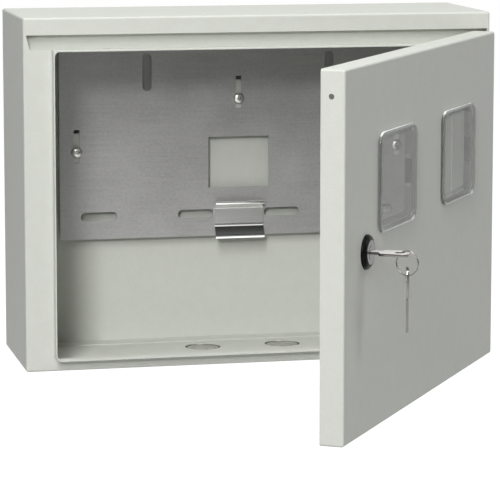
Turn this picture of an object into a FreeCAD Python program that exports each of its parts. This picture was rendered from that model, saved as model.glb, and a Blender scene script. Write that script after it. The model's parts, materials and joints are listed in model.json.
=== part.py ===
import FreeCAD, Part
import os
import re

import Sketcher

# A wall-hung sheet-steel box for two electric meters, with a glazed door hung on its right side.
# Millimetres, +Z up. The wall is the plane y = 0, the box stands in front of it towards -Y, and the
# origin is the centre of the four wall holes. Pieces of the door are drawn in the door's own frame:
# its origin is on the hinge axis, x runs along the shut door and y towards the wall.

# Enclosure
body_width = 420  # outer width of the box
body_height = 310  # outer height of the box
body_depth = 130  # wall to front flange
sheet = 1  # steel sheet of box and door
bend_radius = 2  # outer radius of folded edges
hood_height = 15  # height of the hood above the gutter
gutter_height = 13  # open height of the rain gutter
gutter_depth = 8  # depth of the rain gutter behind the hood
gutter_end_top = 2.5  # flange left standing at the gutter's ends, at the top
gutter_end_low = 6  # flange left standing at the gutter's ends, at the bottom
side_flange = 26  # width of the left and right front flange
bottom_flange = 11  # height of the lower front flange
lip_length = 10  # how far the opening's lip stands forward
opening_corner = 4.5  # corner radius of the opening
lip_root = 2.5  # bend between flange and lip
seam_width = 20  # width of the back panel's welded edge
wall_hole = 7  # diameter of a wall hole
wall_hole_across = 360  # wall holes, left to right
wall_hole_up = 260  # wall holes, bottom to top
entry_hole = 32.5  # diameter of a cable knock-out
entry_pitch = 74.5  # distance between the knock-outs
entry_shift = 1.8  # knock-outs right of the box's middle
entry_from_wall = 48  # knock-out centre to wall
entry_press = 0.8  # how far a knock-out disc is pushed out of the floor
entry_lap = 0.2  # overlap that still holds a knock-out disc

# Mounting plate, its brackets and screws
plate_width = 334  # width of the mounting plate
plate_height = 188  # height of the mounting plate
plate_sheet = 1.2  # thickness of the mounting plate
plate_shift = 6.6  # plate and windows right of the box's middle
plate_above_floor = 97.5  # lower edge of the plate above the box's underside
plate_corner = 3  # corner radius of the plate
standoff = 7  # gap behind the plate
meter_pitch = 171.6  # distance between the two meters
top_slot_width = 8.4  # width of an upright meter slot
top_slot_length = 34  # length of an upright meter slot
top_slot_rise = 152.8  # upright slot centre above the plate's lower edge
low_slot_width = 8  # width of a level meter slot
low_slot_length = 33.4  # length of a level meter slot
low_slot_pitch = 90.5  # distance between one meter's level slots
low_slot_rise = 21  # level slot centre above the plate's lower edge
cutout_width = 57  # width of the plate's square cut-out
cutout_height = 47  # height of the plate's square cut-out
cutout_rise = 68.6  # cut-out centre above the plate's lower edge
screw_slot_width = 5.2  # width of a screw slot
screw_slot_length = 30.4  # length of a screw slot
side_slot_reach = 151.3  # side screw slots from the plate's middle
side_slot_rise = 86.2  # side screw slot centre above the plate's lower edge
mid_slot_rise = 133.1  # middle screw slot centre above the plate's lower edge
screw_drop = 5.5  # screw below the centre of its slot
screw_shank = 4.8  # diameter of a plate screw
screw_head = 10  # head diameter of a plate screw
screw_head_height = 3.4  # head height of a plate screw
screw_end_gap = 2.5  # screw end to back wall
screw_gap = 0.1  # plate screw in its bracket, on the radius
cross_length = 5  # length of the cross recess
cross_width = 1.1  # width of the cross recess
cross_depth = 1.6  # depth of the cross recess
bracket_width = 22  # web width of a plate bracket
bracket_height = 34  # height of a plate bracket
bracket_foot = 9  # welded foot of a plate bracket
bracket_sheet = 1.5  # sheet of a plate bracket

# Rail
rail_length = 46  # length of the rail
rail_width = 35  # width over the rail's lips
rail_web = 22  # width of the rail's flat web
rail_lip = 2.4  # width of a rail lip
rail_height = 7.5  # height of the rail's section
rail_sheet = 1  # sheet of the rail
lip_bend = 0.8  # bend radius at a rail lip
web_bend = 5  # bend radius at the rail's web
rail_rise = 15.3  # rail centre above the plate's lower edge

# Door and hinges
door_open = 56.8  # angle at which the door stands open
door_depth = 19.4  # depth of the door tray
door_gap = 1  # shut door to front flange
door_side_gap = 1.5  # door edge inside the box's side
door_top_gap = 1.7  # door to hood
door_bottom_gap = 3  # door edge above the box's underside
hinge_inset = 4.6  # hinge axis to the door's outer side
hinge_spread = 190  # distance between the hinges
knuckle_radius = 3.5  # outer radius of a hinge knuckle
knuckle_height = 12  # height of a hinge knuckle
leaf_length = 12  # hinge leaf, from axis to end
hinge_sheet = 1.5  # sheet of the hinge pieces
hinge_float = 0.3  # end play of a knuckle in its fork
ear_nose = 3.1  # half width of a fork's nose
nose_flat = 0.1  # flat left at the tip of a fork's nose
ear_near = 6  # fork root left of the hinge axis, near end
ear_far = 15.8  # fork root left of the hinge axis, far end
pin_diameter = 4  # diameter of a hinge pin
pin_head = 6.2  # head diameter of a hinge pin
pin_head_height = 1.5  # head height of a hinge pin
running_gap = 0.05  # running clearance of pins and plug, on the radius
notch_gap = 1  # door notch above and below a fork
edge_hole = 4.5  # diameter of the hole in the door's free edge
edge_hole_drop = 20.8  # edge hole below the door's top
edge_hole_back = 8.7  # edge hole ahead of the door's back edge
seal_width = 10  # width of the foam seal
seal_gap = 0.3  # shut seal to lip
seal_round = 2.5  # rounding of the seal's crest

# Windows
window_width = 96  # width of a window over its rim
window_height = 80  # height of a window over its rim
window_centre = 42  # window centre above the box's middle
window_rise = 3.4  # window front ahead of the door
window_corner = 11  # corner radius of a window's rim
window_bevel = 1.8  # bevel of a window's rim
window_pane = 2  # thickness of a window's pane
rim_lap = 5  # rim of a window past its hole
window_fit = 0.3  # window collar in its hole
collar_wall = 1.6  # wall of a window's collar
collar_depth = 6  # window collar behind the door's front
snap_length = 20  # length of a snap tab
snap_catch = 1  # snap tab past the edge of the hole
snap_gap = 0.2  # snap tab behind the door's sheet
snap_height = 2.4  # thickness of a snap tab

# Lock and keys
lock_from_edge = 53.5  # lock axis to the door's free edge
lock_height = -7.9  # lock axis above the box's middle
rosette_radius = 13.8  # outer radius of the rosette
rosette_height = 3.9  # height of the rosette
rosette_bevel = 2.6  # bevel of the rosette
rosette_foot = 1.3  # upright foot of the rosette
head_radius = 9.8  # radius of the lock's head
head_sink = 1.6  # lock head's seat below the rosette's front
head_proud = 0.3  # lock head ahead of the rosette's front
head_gap = 0.2  # lock head in the rosette, on the radius
barrel_radius = 8  # radius of the lock's barrel
barrel_gap = 0.1  # barrel in its holes, on the radius
nut_across = 22  # lock nut across its flats
nut_height = 4.5  # height of the lock nut
plug_radius = 5.5  # radius of the turning plug
plug_proud = 0.2  # plug ahead of the lock's head
tang = 7  # width of the plug's square end
tang_gap = 0.1  # tongue round the square end
cam_clearance = 0.5  # tongue behind the flange, and behind the barrel
cam_sheet = 2.2  # thickness of the tongue
cam_reach = 39.5  # lock axis to the tongue's tip
cam_heel = 9  # lock axis to the tongue's heel
cam_width = 16  # width of the tongue
cam_round = 5  # corner radius of the tongue
cam_screw_head = 10  # head diameter of the tongue's screw
cam_screw_height = 3  # head height of the tongue's screw
cam_screw_shank = 3.8  # diameter of the tongue's screw
cam_screw_length = 6.5  # length of the tongue's screw in the plug
key_thickness = 2.2  # thickness of a key
key_insert = 19.5  # key blade inside the plug
key_out = 31.6  # key outside the plug
key_neck = 7.5  # key blade between plug and bow
blade_width = 8  # width of a key's blade
blade_tip = 3  # bevel of a key's tip
key_gap = 0.25  # key in its keyway, all round
bow_width = 20.5  # width of a key's bow
bow_round = 5  # corner radius of a key's bow
bow_hole = 7.4  # hole in a key's bow
bow_rim = 5  # bow hole to the end of the key
bit_depth = 1.2  # depth of a key's cuts
bit_pitch = 3.4  # distance between a key's cuts
ring_radius = 9.5  # radius of the key ring, to the wire's middle
ring_wire = 1.6  # wire of the key ring
ring_rest = 0.2  # ring above the bow it hangs on
ring_turn = -10  # ring turned from the key's line, about the vertical
spare_turn = 20  # spare key turned from the key's line, about the vertical

# Earth points
stud_diameter = 5.8  # diameter of an earth stud
stud_length = 14  # length of an earth stud
stud_nut_across = 10  # earth nut across its flats
stud_nut_height = 5  # height of an earth nut
stud_washer_radius = 6  # radius of an earth washer
stud_washer_height = 1.6  # thickness of an earth washer
stud_gap = 0.15  # earth nut and washer round their stud
body_stud_right = 135  # box's earth stud right of the middle
body_stud_down = 115  # box's earth stud below the middle
door_stud_left = 42  # door's earth stud left of the hinge axis
door_stud_down = 110  # door's earth stud below the middle

# Sheet with every size above under its own name
doc = FreeCAD.newDocument("meter_box")
sizes = doc.addObject("Spreadsheet::Sheet", "sizes")
size_names = [name for name, number in list(globals().items()) if isinstance(number, (int, float))]
for row, name in enumerate(size_names, start=1):
    sizes.set(f"A{row}", name)
    sizes.set(f"B{row}", str(globals()[name]))
    sizes.setAlias(f"B{row}", name)
doc.recompute()

# Values that follow from the sizes above
worked_out = {
    "hood_low": "body_height / 2 - hood_height",
    "gutter_floor": "hood_low - gutter_height",
    "opening_top": "gutter_floor - sheet",
    "opening_low": "bottom_flange - body_height / 2",
    "opening_side": "body_width / 2 - side_flange",
    "plate_low": "plate_above_floor - body_height / 2",
    "plate_back": "sheet + standoff",
    "plate_front": "plate_back + plate_sheet",
    "mid_screw_height": "plate_low + mid_slot_rise - screw_drop",
    "side_screw_height": "plate_low + side_slot_rise - screw_drop",
    "door_front": "knuckle_radius + sheet",
    "door_back": "door_depth - door_front",
    "hinge_setback": "door_gap + door_back",
    "axis_x": "body_width / 2 - door_side_gap - hinge_inset",
    "axis_y": "-(body_depth + hinge_setback)",
    "door_free": "body_width - 2 * door_side_gap - hinge_inset",
    "door_low": "door_bottom_gap - body_height / 2",
    "door_high": "hood_low - door_top_gap",
    "fork_height": "knuckle_height + 2 * hinge_float + 2 * hinge_sheet",
    "seal_thickness": "hinge_setback + knuckle_radius - lip_length - seal_gap",
    "seal_reach": "sheet / 2 + seal_width / 2",
    "hole_width": "window_width - 2 * rim_lap",
    "hole_height": "window_height - 2 * rim_lap",
    "lock_x": "lock_from_edge - door_free",
    "lock_seat": "door_front + rosette_height - head_sink",
    "lock_face": "door_front + rosette_height + head_proud",
    "plug_face": "lock_face + plug_proud",
    "cam_front": "hinge_setback + sheet + cam_clearance",
    "barrel_end": "cam_front - cam_clearance",
    "key_length": "key_insert + key_out",
    "bow_centre": "bow_rim + bow_hole / 2",
    "ring_y": "-(plug_face + key_out - bow_rim / 2)",
    "ring_inside": "ring_radius - ring_wire / 2",
    "ring_drop": "sqrt(ring_inside * ring_inside - bow_rim * bow_rim / 4)",
    "ring_height": "lock_height + key_thickness / 2 + ring_rest - ring_drop",
    "ring_x_room": "axis_x + lock_x * cos(door_open) - ring_y * sin(door_open)",
    "ring_y_room": "axis_y + lock_x * sin(door_open) + ring_y * cos(door_open)",
    "spare_hole_height": "ring_height - ring_radius + ring_wire / 2 + ring_rest - bow_hole / 2",
}
pieces = []


def bound(expression):
    """The expression with worked-out values spelt out and each size led by the sheet's name."""

    def spell(match):
        word = match.group()
        if word in worked_out:
            return "(" + bound(worked_out[word]) + ")"
        return "sizes." + word if word in size_names else word

    return re.sub(r"[a-z][a-z_0-9]*", spell, expression)


def value(expression):
    """The number that the expression has now."""
    return float(sizes.evalExpression(bound(expression)))


def new_piece(label, place=None):
    """A body that becomes one node, set in place where it isn't drawn in the box's frame."""
    body = doc.addObject("PartDesign::Body", label)
    body.Label = label
    if place:
        place(body)
    pieces.append(body)
    return body


def group(label, bodies):
    """Identical pieces that share one node."""
    result = doc.addObject("Part::Compound", label)
    result.Label = label
    result.Links = bodies
    for body in bodies:
        pieces.remove(body)
    pieces.append(result)


def turned(body, x, y, z, angle):
    """Sets a body at a point, turned about the vertical."""
    upright = FreeCAD.Rotation(FreeCAD.Vector(0, 0, 1), value(angle))
    body.Placement = FreeCAD.Placement(FreeCAD.Vector(), upright)
    body.setExpression("Placement.Base.x", bound(x))
    body.setExpression("Placement.Base.y", bound(y))
    body.setExpression("Placement.Base.z", bound(z))
    body.setExpression("Placement.Rotation.Angle", bound(angle))


def on_door(body):
    """Sets a body in the frame of the open door."""
    turned(body, "axis_x", "axis_y", "0", "door_open")


def sketch(body, plane, x="0", y="0", lift="0"):
    """A sketch on a plane of the body, moved by x and y within it and by lift along its normal."""
    result = body.newObject("Sketcher::SketchObject", body.Name + "_sketch")
    for feature in body.Origin.OriginFeatures:
        if feature.Role == plane:
            result.AttachmentSupport = [(feature, "")]
    result.MapMode = "FlatFace"
    result.setExpression("AttachmentOffset.Base.x", bound(x))
    result.setExpression("AttachmentOffset.Base.y", bound(y))
    result.setExpression("AttachmentOffset.Base.z", bound(lift))
    return result


def bind(profile, kind, geometry, *rest):
    """A dimension of the sketch that follows an expression, which comes last."""
    expression = rest[-1]
    constraint = Sketcher.Constraint(kind, geometry, *rest[:-1], value(expression))
    index = profile.addConstraint(constraint)
    profile.setExpression(f"Constraints[{index}]", bound(expression))


def pin_point(profile, geometry, vertex, x, y):
    """Holds one point of the sketch at x and y."""
    bind(profile, "DistanceX", geometry, vertex, x)
    bind(profile, "DistanceY", geometry, vertex, y)


def polygon(profile, corners):
    """A closed outline of straight lines through the corners."""
    first = profile.GeometryCount
    points = [FreeCAD.Vector(value(x), value(y), 0) for x, y in corners]
    for start, end in zip(points, points[1:] + points[:1]):
        profile.addGeometry(Part.LineSegment(start, end), False)
    for index, (x, y) in enumerate(corners):
        following = first + (index + 1) % len(corners)
        profile.addConstraint(Sketcher.Constraint("Coincident", first + index, 2, following, 1))
        pin_point(profile, first + index, 1, x, y)


def rectangle(profile, left, right, low, high):
    """A rectangle between two x and two y values."""
    polygon(profile, [(left, low), (right, low), (right, high), (left, high)])


def circle(profile, x, y, radius):
    """A circle about a point."""
    centre = FreeCAD.Vector(value(x), value(y), 0)
    index = profile.addGeometry(Part.Circle(centre, FreeCAD.Vector(0, 0, 1), value(radius)), False)
    pin_point(profile, index, 3, x, y)
    bind(profile, "Radius", index, radius)


def slot(profile, x, y, length, width, upright):
    """A round-ended slot about a point, upright or level."""
    reach = f"({length} - {width}) / 2"
    across = FreeCAD.Vector(1, 0, 0) if upright else FreeCAD.Vector(0, 1, 0)
    along = FreeCAD.Vector(0, 1, 0) if upright else FreeCAD.Vector(1, 0, 0)
    centre = FreeCAD.Vector(value(x), value(y), 0)
    radius = value(width) / 2
    first = profile.GeometryCount
    far = centre + along * value(reach)
    near = centre - along * value(reach)
    for middle, outward in ((far, along), (near, -along)):
        arc = Part.Arc(middle + across * radius, middle + outward * radius, middle - across * radius)
        profile.addGeometry(arc, False)
    for side in (across, -across):
        profile.addGeometry(Part.LineSegment(far + side * radius, near + side * radius), False)
    for arc, sign in ((first, "+"), (first + 1, "-")):
        arc_x = x if upright else f"{x} {sign} {reach}"
        arc_y = f"{y} {sign} {reach}" if upright else y
        pin_point(profile, arc, 3, arc_x, arc_y)
        bind(profile, "Radius", arc, f"{width} / 2")
    for line in (first + 2, first + 3):
        for vertex, arc in ((1, first), (2, first + 1)):
            end = profile.getPoint(line, vertex)
            touching = 1 if end.distanceToPoint(profile.getPoint(arc, 1)) < radius / 2 else 2
            profile.addConstraint(Sketcher.Constraint("Tangent", line, vertex, arc, touching))


def hexagon(profile, across):
    """A hexagon about the sketch's origin, flat to flat as stated."""
    corner = f"{across} / sqrt(3)"
    flat = f"{across} / 2"
    right = [(corner, "0"), (f"{corner} / 2", flat), (f"-{corner} / 2", flat)]
    left = [(f"-{corner}", "0"), (f"-{corner} / 2", f"-{flat}"), (f"{corner} / 2", f"-{flat}")]
    polygon(profile, right + left)


def add(body, profile, length, forward=True, both_ways=False):
    """Material from the profile along its normal, against it, or half each way."""
    feature = body.newObject("PartDesign::Pad", profile.Name + "_pad")
    feature.Profile = profile
    feature.SideType = "Symmetric" if both_ways else "One side"
    feature.Reversed = not forward
    feature.setExpression("Length", bound(length))
    doc.recompute()


def cut(body, profile, length, forward=False, both_ways=False):
    """A cut from the profile against its normal, along it, or half each way."""
    before = body.Tip.Shape.Volume
    feature = body.newObject("PartDesign::Pocket", profile.Name + "_cut")
    feature.Profile = profile
    feature.SideType = "Symmetric" if both_ways else "One side"
    feature.Reversed = forward
    feature.setExpression("Length", bound(length))
    doc.recompute()
    if not feature.Shape.Volume < before:
        raise RuntimeError(f"{feature.Name} removes nothing")


def turn(body, profile, axis="V_Axis"):
    """A solid of revolution about an axis of the sketch."""
    feature = body.newObject("PartDesign::Revolution", profile.Name + "_turn")
    feature.Profile = profile
    feature.ReferenceAxis = (profile, [axis])
    feature.Angle = 360
    doc.recompute()


def dress(body, kind, amount, chosen):
    """A Fillet or Chamfer on the edges of the body for which chosen(direction, middle) is true."""
    base = body.Tip
    names = []
    for index, edge in enumerate(base.Shape.Edges):
        if edge.Degenerated:
            continue
        halfway = (edge.FirstParameter + edge.LastParameter) / 2
        if chosen(edge.tangentAt(halfway), edge.valueAt(halfway)):
            names.append(f"Edge{index + 1}")
    feature = body.newObject("PartDesign::" + kind, body.Name + "_" + kind.lower())
    feature.Base = (base, names)
    feature.setExpression("Radius" if kind == "Fillet" else "Size", bound(amount))
    doc.recompute()


def near(first, second):
    """Whether two numbers are the same length for the eye."""
    return abs(first - second) < 0.01


def is_along(direction, axis):
    """Whether an edge runs along x, y or z."""
    return abs(getattr(direction, axis)) > 0.999


# Enclosure: wall to front flange in one folded and welded shell
enclosure = new_piece("enclosure")
half_width = "body_width / 2"
half_height = "body_height / 2"
outline = sketch(enclosure, "XZ_Plane")
rectangle(outline, f"-{half_width}", half_width, f"-{half_height}", half_height)
add(enclosure, outline, "body_depth")
front_y = -value("body_depth")
dress(enclosure, "Fillet", "bend_radius", lambda d, m: is_along(d, "y") or near(m.y, front_y))
inside = sketch(enclosure, "XZ_Plane", lift="sheet")
inner_side = f"({half_width} - sheet)"
inner_end = f"({half_height} - sheet)"
rectangle(inside, f"-{inner_side}", inner_side, f"-{inner_end}", inner_end)
cut(enclosure, inside, "body_depth - 2 * sheet", forward=True)

# Rain gutter under the hood: a slanted-ended gap in the front, and the fold that runs behind it
gap = sketch(enclosure, "XZ_Plane", lift="body_depth")
gap_top = f"({half_width} - gutter_end_top)"
gap_low = f"({half_width} - gutter_end_low)"
gap_corners = [(f"-{gap_low}", "gutter_floor"), (gap_low, "gutter_floor")]
polygon(gap, gap_corners + [(gap_top, "hood_low"), (f"-{gap_top}", "hood_low")])
cut(enclosure, gap, "gutter_depth")
fold = sketch(enclosure, "YZ_Plane")
fold_back = "(gutter_depth - body_depth)"
fold_inside = [("-body_depth", "hood_low"), (fold_back, "hood_low")]
fold_inside += [(fold_back, "gutter_floor"), ("-body_depth", "gutter_floor")]
fold_outside = [("-body_depth", "opening_top"), (f"{fold_back} + sheet", "opening_top")]
fold_outside += [(f"{fold_back} + sheet", "hood_low + sheet"), ("-body_depth", "hood_low + sheet")]
polygon(fold, fold_inside + fold_outside)
add(enclosure, fold, "body_width - 2 * sheet", both_ways=True)

# Opening with the lip that stands forward round it
opening = sketch(enclosure, "XZ_Plane", lift="body_depth")
rectangle(opening, "-opening_side", "opening_side", "opening_low", "opening_top")
cut(enclosure, opening, "2 * sheet")
lip = sketch(enclosure, "XZ_Plane", lift="body_depth - sheet")
rectangle(lip, "-opening_side", "opening_side", "opening_low", "opening_top")
lip_side = "(opening_side + sheet)"
rectangle(lip, f"-{lip_side}", lip_side, "opening_low - sheet", "opening_top + sheet")
add(enclosure, lip, "lip_length + sheet")
opening_x = value("opening_side")
opening_z = (value("opening_low"), value("opening_top"))
dress(
    enclosure,
    "Fillet",
    "opening_corner",
    lambda d, m: is_along(d, "y") and near(abs(m.x), opening_x) and min(abs(m.z - z) for z in opening_z) < 0.01,
)
lip_x = opening_x + value("sheet")
lip_low = opening_z[0] - value("sheet")
dress(
    enclosure,
    "Fillet",
    "opening_corner + sheet",
    lambda d, m: is_along(d, "y") and near(abs(m.x), lip_x) and near(m.z, lip_low),
)


def is_lip_root(direction, middle):
    """Whether an edge is the fold between the flange and the lip."""
    inside_flange = abs(middle.x) < lip_x + 0.01 and middle.z > lip_low - 0.01
    return near(middle.y, front_y) and inside_flange and middle.z < opening_z[1]


dress(enclosure, "Fillet", "lip_root", is_lip_root)

# Edge of the back panel, welded to the walls from inside, wall holes and floor knock-outs
seam = sketch(enclosure, "XZ_Plane", lift="sheet")
rectangle(seam, f"-{inner_side}", inner_side, f"-{inner_end}", inner_end)
seam_side = f"({inner_side} - sheet)"
seam_end = f"({inner_end} - sheet)"
rectangle(seam, f"-{seam_side}", seam_side, f"-{seam_end}", seam_end)
add(enclosure, seam, "seam_width")
wall_holes = sketch(enclosure, "XZ_Plane")
for across in ("-", ""):
    for up in ("-", ""):
        circle(wall_holes, f"{across}wall_hole_across / 2", f"{up}wall_hole_up / 2", "wall_hole / 2")
cut(enclosure, wall_holes, "2 * sheet", forward=True)
entry_places = [f"entry_shift {sign} entry_pitch / 2" for sign in ("-", "+")]
pressed = sketch(enclosure, "XY_Plane", lift="-body_height / 2")
sunk = sketch(enclosure, "XY_Plane", lift="sheet - body_height / 2")
for place in entry_places:
    circle(pressed, place, "-entry_from_wall", "entry_hole / 2 + entry_lap")
    circle(sunk, place, "-entry_from_wall", "entry_hole / 2")
add(enclosure, pressed, "entry_press", forward=False)
cut(enclosure, sunk, "entry_press")


def plate_bracket(label, x, z):
    """A hat-shaped bracket on the back wall, with the hole for one plate screw."""
    body = new_piece(label)
    hat = sketch(body, "XY_Plane", x=x, lift=f"{z} - bracket_height / 2")
    web = "bracket_width / 2"
    foot = f"({web} + bracket_foot)"
    inner = f"({web} - bracket_sheet)"
    foot_front = "-(sheet + bracket_sheet)"
    crown = "-plate_back"
    outer_half = [(foot, "-sheet"), (foot, foot_front), (web, foot_front), (web, crown)]
    inner_half = [(inner, f"{crown} + bracket_sheet"), (inner, "-sheet")]
    outer_left = [(f"-{corner}", depth) for corner, depth in reversed(outer_half)]
    inner_left = [(f"-{corner}", depth) for corner, depth in reversed(inner_half)]
    polygon(hat, outer_half + outer_left + inner_left + inner_half)
    add(body, hat, "bracket_height")
    hole = sketch(body, "XZ_Plane", x=x, y=z, lift="plate_back")
    circle(hole, "0", "0", "screw_shank / 2 + screw_gap")
    cut(body, hole, "2 * bracket_sheet")
    return body


def plate_screw(label, x, z):
    """A pan-head screw with a cross recess, through the plate into its bracket."""
    body = new_piece(label)
    section = sketch(body, "XY_Plane", x=x, lift=z)
    tip = "-(sheet + screw_end_gap)"
    crown = "-(plate_front + screw_head_height)"
    head = [("0", crown), ("screw_head / 2", crown), ("screw_head / 2", "-plate_front")]
    shank = [("screw_shank / 2", "-plate_front"), ("screw_shank / 2", tip), ("0", tip)]
    polygon(section, head + shank)
    turn(body, section)
    crown_y = value(crown)
    dress(body, "Fillet", "screw_head_height * 0.6", lambda d, m: near(m.y, crown_y))
    cross = sketch(body, "XZ_Plane", x=x, y=z, lift="plate_front + screw_head_height")
    arm = "cross_length / 2"
    half = "cross_width / 2"
    right = [(half, f"-{arm}"), (half, f"-{half}"), (arm, f"-{half}"), (arm, half), (half, half)]
    left = [(half, arm), (f"-{half}", arm), (f"-{half}", half), (f"-{arm}", half)]
    low = [(f"-{arm}", f"-{half}"), (f"-{half}", f"-{half}"), (f"-{half}", f"-{arm}")]
    polygon(cross, right + left + low)
    cut(body, cross, "cross_depth")
    return body


screw_places = {
    "left": ("plate_shift - side_slot_reach", "side_screw_height"),
    "middle": ("plate_shift", "mid_screw_height"),
    "right": ("plate_shift + side_slot_reach", "side_screw_height"),
}
group("plate_brackets", [plate_bracket(f"bracket_{side}", x, z) for side, (x, z) in screw_places.items()])
group("plate_screws", [plate_screw(f"screw_{side}", x, z) for side, (x, z) in screw_places.items()])

# Mounting plate with its meter slots, screw slots and cut-out
plate = new_piece("mounting_plate")
blank = sketch(plate, "XZ_Plane", x="plate_shift", y="plate_low", lift="plate_back")
rectangle(blank, "-plate_width / 2", "plate_width / 2", "0", "plate_height")
add(plate, blank, "plate_sheet")
dress(plate, "Fillet", "plate_corner", lambda d, m: is_along(d, "y"))
holes = sketch(plate, "XZ_Plane", x="plate_shift", y="plate_low", lift="plate_front")
for meter in ("-meter_pitch / 2", "meter_pitch / 2"):
    slot(holes, meter, "top_slot_rise", "top_slot_length", "top_slot_width", True)
    for side in ("-", "+"):
        level_x = f"{meter} {side} low_slot_pitch / 2"
        slot(holes, level_x, "low_slot_rise", "low_slot_length", "low_slot_width", False)
for middle, rise in (
    ("-side_slot_reach", "side_slot_rise"),
    ("0", "mid_slot_rise"),
    ("side_slot_reach", "side_slot_rise"),
):
    slot_left = f"{middle} - screw_slot_width / 2"
    slot_right = f"{middle} + screw_slot_width / 2"
    rectangle(holes, slot_left, slot_right, f"{rise} - screw_slot_length / 2", f"{rise} + screw_slot_length / 2")
cutout_low = "cutout_rise - cutout_height / 2"
rectangle(holes, "-cutout_width / 2", "cutout_width / 2", cutout_low, "cutout_rise + cutout_height / 2")
cut(plate, holes, "2 * plate_sheet")

# Hat rail with flared walls, welded to the plate at its lower edge
rail = new_piece("din_rail")
hat_section = sketch(rail, "YZ_Plane", x="-plate_front", y="plate_low + rail_rise", lift="plate_shift")
lip_end = "rail_width / 2"
lip_root = "(rail_width / 2 - rail_lip)"
lip_back = "(rail_sheet - rail_height)"
web_end = "rail_web / 2"
flare = f"atan((rail_height - rail_sheet) / ({lip_root} - {web_end}))"
bend_step = f"rail_sheet * tan({flare} / 2)"
wall_top = f"({lip_root} + {bend_step})"
wall_foot = f"({web_end} + {bend_step})"
upper = [("-rail_height", lip_root), ("-rail_height", lip_end), (lip_back, lip_end), (lip_back, wall_top)]
upper += [("0", wall_foot)]
lower = [(depth, f"-{height}") for depth, height in reversed(upper)]
polygon(hat_section, upper + lower + [("-rail_sheet", f"-{web_end}"), ("-rail_sheet", web_end)])
add(rail, hat_section, "rail_length", both_ways=True)
rail_middle = value("plate_low + rail_rise")
for corner, bend in (
    (lip_root, "lip_bend + rail_sheet"),
    (wall_top, "lip_bend"),
    (web_end, "web_bend"),
    (wall_foot, "web_bend + rail_sheet"),
):
    reach = value(corner)
    dress(rail, "Fillet", bend, lambda d, m: is_along(d, "x") and near(abs(m.z - rail_middle), reach))


def frame_hinge(label, height):
    """A fork folded from one strip: a root on the flange and two ears with the pin's bore."""
    body = new_piece(label)
    ears = sketch(body, "XY_Plane", x="axis_x", y="axis_y", lift=height)
    nose = [("-ear_nose", "-ear_nose"), ("ear_nose", "-ear_nose"), ("ear_nose", "0")]
    root = [("-ear_near", "hinge_setback"), ("-ear_far", "hinge_setback"), ("-ear_nose", "0")]
    polygon(ears, nose + root)
    add(body, ears, "fork_height", both_ways=True)
    nose_y = value("axis_y - ear_nose")
    dress(body, "Fillet", "ear_nose - nose_flat", lambda d, m: is_along(d, "z") and near(m.y, nose_y))
    between = sketch(body, "XY_Plane", x="axis_x", y="axis_y", lift=height)
    rectangle(between, "-2 * ear_far", "2 * ear_far", "-2 * ear_nose", "hinge_setback - hinge_sheet")
    cut(body, between, "knuckle_height + 2 * hinge_float", both_ways=True)
    bore = sketch(body, "XY_Plane", x="axis_x", y="axis_y", lift=height)
    circle(bore, "0", "0", "pin_diameter / 2 + running_gap")
    cut(body, bore, "2 * fork_height", both_ways=True)


def door_hinge(label, height):
    """A leaf on the inside of the door, rolled into a knuckle round the pin."""
    body = new_piece(label, on_door)
    knuckle = sketch(body, "XY_Plane", lift=height)
    circle(knuckle, "0", "0", "knuckle_radius")
    add(body, knuckle, "knuckle_height", both_ways=True)
    leaf = sketch(body, "XY_Plane", lift=height)
    rectangle(leaf, "-leaf_length", "0", "-knuckle_radius", "hinge_sheet - knuckle_radius")
    add(body, leaf, "knuckle_height", both_ways=True)
    bore = sketch(body, "XY_Plane", lift=height)
    circle(bore, "0", "0", "pin_diameter / 2 + running_gap")
    cut(body, bore, "2 * knuckle_height", both_ways=True)


def hinge_pin(label, height):
    """A pin with a head on the fork's upper ear and an upset end under the lower one."""
    body = new_piece(label)
    section = sketch(body, "XZ_Plane", x="axis_x", y=height, lift="-axis_y")
    radius = "pin_diameter / 2"
    top = "fork_height / 2"
    head = [("0", f"{top} + pin_head_height"), ("pin_head / 2", f"{top} + pin_head_height")]
    head += [("pin_head / 2", top), (radius, top)]
    upset = "(pin_head / 2 + pin_diameter / 2) / 2"
    end = [(radius, f"-{top}"), (upset, f"-{top}"), (radius, f"-({top} + pin_head_height)")]
    polygon(section, head + end + [("0", f"-({top} + pin_head_height)")])
    turn(body, section)


for name, height in (("upper", "hinge_spread / 2"), ("lower", "-hinge_spread / 2")):
    frame_hinge(f"frame_hinge_{name}", height)
    door_hinge(f"door_hinge_{name}", height)
    hinge_pin(f"hinge_pin_{name}", height)

# Door tray
door = new_piece("door_panel", on_door)
tray = sketch(door, "XZ_Plane", lift="-door_back")
rectangle(tray, "-door_free", "hinge_inset", "door_low", "door_high")
add(door, tray, "door_depth")
door_face = -value("door_front")
dress(door, "Fillet", "bend_radius", lambda d, m: is_along(d, "y") or near(m.y, door_face))
hollow = sketch(door, "XZ_Plane", lift="-door_back")
rectangle(hollow, "sheet - door_free", "hinge_inset - sheet", "door_low + sheet", "door_high - sheet")
cut(door, hollow, "door_depth - sheet", forward=True)
window_places = {
    "left": "plate_shift - meter_pitch / 2 - axis_x",
    "right": "plate_shift + meter_pitch / 2 - axis_x",
}
windows_cut = sketch(door, "XZ_Plane", y="window_centre", lift="door_front")
for centre in window_places.values():
    hole_left = f"{centre} - hole_width / 2"
    rectangle(windows_cut, hole_left, f"{centre} + hole_width / 2", "-hole_height / 2", "hole_height / 2")
cut(door, windows_cut, "2 * sheet")
inside_y = value("-knuckle_radius - sheet / 2")
dress(door, "Fillet", "window_corner - rim_lap", lambda d, m: is_along(d, "y") and near(m.y, inside_y))
lock_hole = sketch(door, "XZ_Plane", x="lock_x", y="lock_height", lift="door_front")
circle(lock_hole, "0", "0", "barrel_radius + barrel_gap")
cut(door, lock_hole, "2 * sheet")
notches = sketch(door, "YZ_Plane", lift="hinge_inset")
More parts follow.
